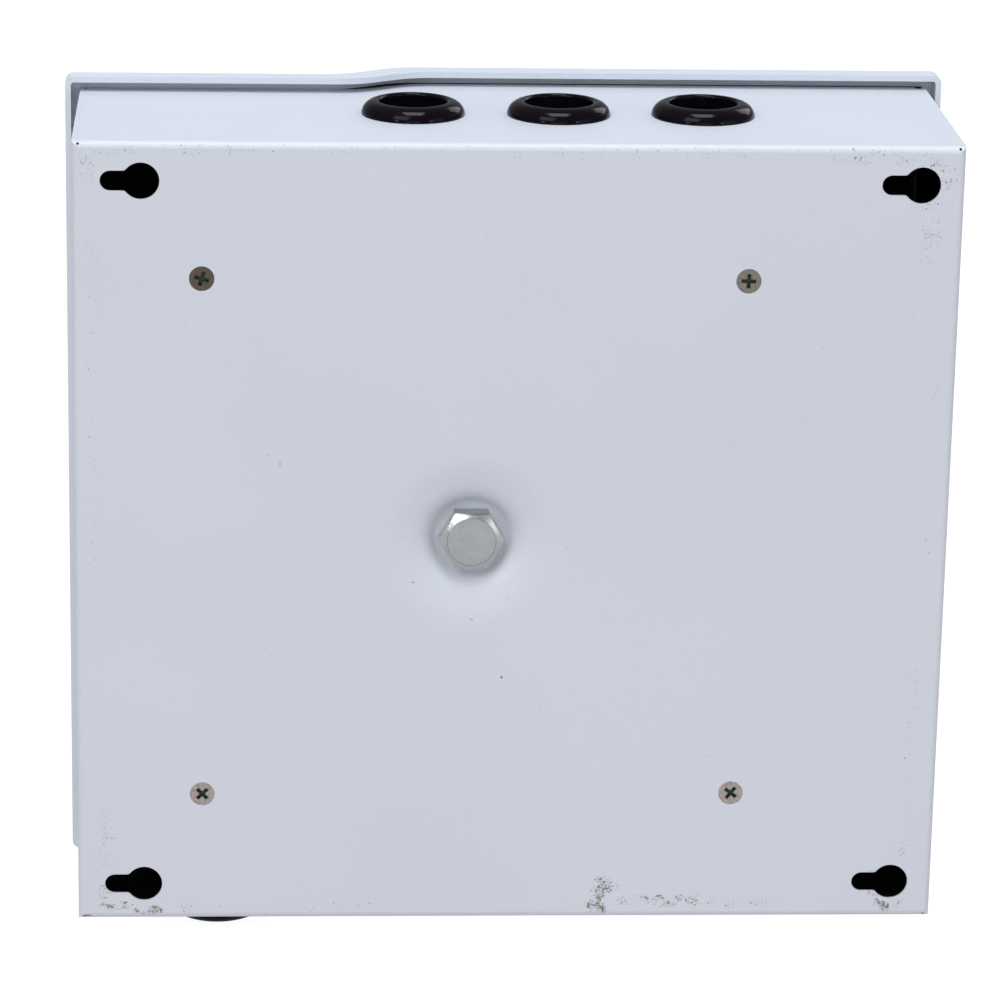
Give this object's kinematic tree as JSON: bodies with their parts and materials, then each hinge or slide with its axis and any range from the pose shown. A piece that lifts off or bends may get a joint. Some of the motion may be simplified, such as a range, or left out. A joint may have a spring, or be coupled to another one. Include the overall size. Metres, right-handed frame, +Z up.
{
  "type": "residential load center",
  "caption": "Wall-mounted load center: folded steel box with keyholes and cable grommets, stepped plastic cover, hinged door, rail breakers and a bolt-clamped ring transformer.",
  "frame": {"origin": "centre of the back sheet's outer face, on the wall plane, at the centre of the box", "axes": "+Z up, front faces -Y, back sheet faces +Y towards the wall, +X to the right seen from the front"},
  "size_m": [0.269, 0.0927, 0.2504],
  "materials": {
    "box_paint": "fine-textured powder coat, pale blue-grey",
    "cover_plastic": "satin moulded plastic, pale blue-grey",
    "door_tint": "smoke-tinted clear plastic",
    "grommet_black": "glossy black bush",
    "black_plastic": "satin black plastic",
    "grey_plastic": "matt grey plastic",
    "breaker_plastic": "matt off-white moulding",
    "main_toggle": "red lever",
    "neutral_plastic": "blue insulating support",
    "zinc": "bright zinc plate, slightly dull",
    "nickel": "nickel plate, tarnished",
    "steel": "plain machined steel",
    "brass": "machined brass",
    "copper": "copper strip",
    "pad_rubber": "black rubber",
    "core_steel": "wound electrical steel strip",
    "winding_tape": "amber insulating tape",
    "card": "white printed card"
  },
  "bodies": {
    "root": {"enclosure_box": "box_paint", "corner_brackets": "zinc", "front_cover": "cover_plastic", "door_hinge_pins": "steel", "cover_screws": "zinc", "directory_card": "card", "centre_bolt": "zinc", "centre_washer": "zinc", "centre_nut": "zinc", "clamp_plate": "zinc", "lower_pad": "pad_rubber", "upper_pad": "pad_rubber", "transformer_core": "core_steel", "transformer_winding": "winding_tape", "rear_screws": "nickel", "plate_standoffs": "zinc", "plate_nuts": "zinc", "equipment_plate": "zinc", "din_rail": "zinc", "rail_screws": "zinc", "rail_stop_upper": "grey_plastic", "rail_stop_lower": "grey_plastic", "main_switch_body": "breaker_plastic", "toggle_pins": "steel", "terminal_screws": "steel", "comb_busbar": "copper", "comb_insulator": "grey_plastic", "neutral_bar": "brass", "neutral_supports": "neutral_plastic", "neutral_screws": "steel", "earth_bar": "brass", "earth_spacers": "brass", "earth_screws": "steel", "terminal_block": "black_plastic", "terminal_block_screws": "steel", "cable_grommet_top_left": "grommet_black", "cable_grommet_top_centre": "grommet_black", "cable_grommet_top_right": "grommet_black", "cable_grommet_bottom": "grommet_black", "breaker_1_body": "breaker_plastic", "breaker_2_body": "breaker_plastic", "breaker_3_body": "breaker_plastic", "breaker_4_body": "breaker_plastic", "breaker_5_body": "breaker_plastic", "breaker_6_body": "breaker_plastic"},
    "door": {"door": "door_tint"},
    "latch": {"door_latch": "black_plastic"},
    "main_toggle": {"main_switch_toggle": "main_toggle"},
    "toggle_1": {"breaker_1_toggle": "black_plastic"},
    "toggle_2": {"breaker_2_toggle": "black_plastic"},
    "toggle_3": {"breaker_3_toggle": "black_plastic"},
    "toggle_4": {"breaker_4_toggle": "black_plastic"},
    "toggle_5": {"breaker_5_toggle": "black_plastic"},
    "toggle_6": {"breaker_6_toggle": "black_plastic"}
  },
  "joints": [
    {"name": "door_hinge", "type": "hinge", "parent": "root", "child": "door", "pos_m": [-0.1152, -0.0883, 0], "axis": [0, 0, -1], "range_deg": [0, 105]},
    {"name": "latch_slide", "type": "slide", "parent": "door", "child": "latch", "axis": [1, 0, 0], "range_m": [0, 0.003]},
    {"name": "main_toggle_hinge", "type": "hinge", "parent": "root", "child": "main_toggle", "pos_m": [-0.078, -0.0718, 0.0531], "axis": [0, 0, 1], "range_deg": [0, 64]},
    {"name": "toggle_1_hinge", "type": "hinge", "parent": "root", "child": "toggle_1", "pos_m": [-0.078, -0.0718, 0.02655], "axis": [0, 0, 1], "range_deg": [0, 64]},
    {"name": "toggle_2_hinge", "type": "hinge", "parent": "root", "child": "toggle_2", "pos_m": [-0.078, -0.0718, 0.00885], "axis": [0, 0, 1], "range_deg": [0, 64]},
    {"name": "toggle_3_hinge", "type": "hinge", "parent": "root", "child": "toggle_3", "pos_m": [-0.078, -0.0718, -0.00885], "axis": [0, 0, 1], "range_deg": [0, 64]},
    {"name": "toggle_4_hinge", "type": "hinge", "parent": "root", "child": "toggle_4", "pos_m": [-0.078, -0.0718, -0.02655], "axis": [0, 0, 1], "range_deg": [0, 64]},
    {"name": "toggle_5_hinge", "type": "hinge", "parent": "root", "child": "toggle_5", "pos_m": [-0.078, -0.0718, -0.04425], "axis": [0, 0, 1], "range_deg": [0, 64]},
    {"name": "toggle_6_hinge", "type": "hinge", "parent": "root", "child": "toggle_6", "pos_m": [-0.078, -0.0718, -0.06195], "axis": [0, 0, 1], "range_deg": [0, 64]}
  ]
}
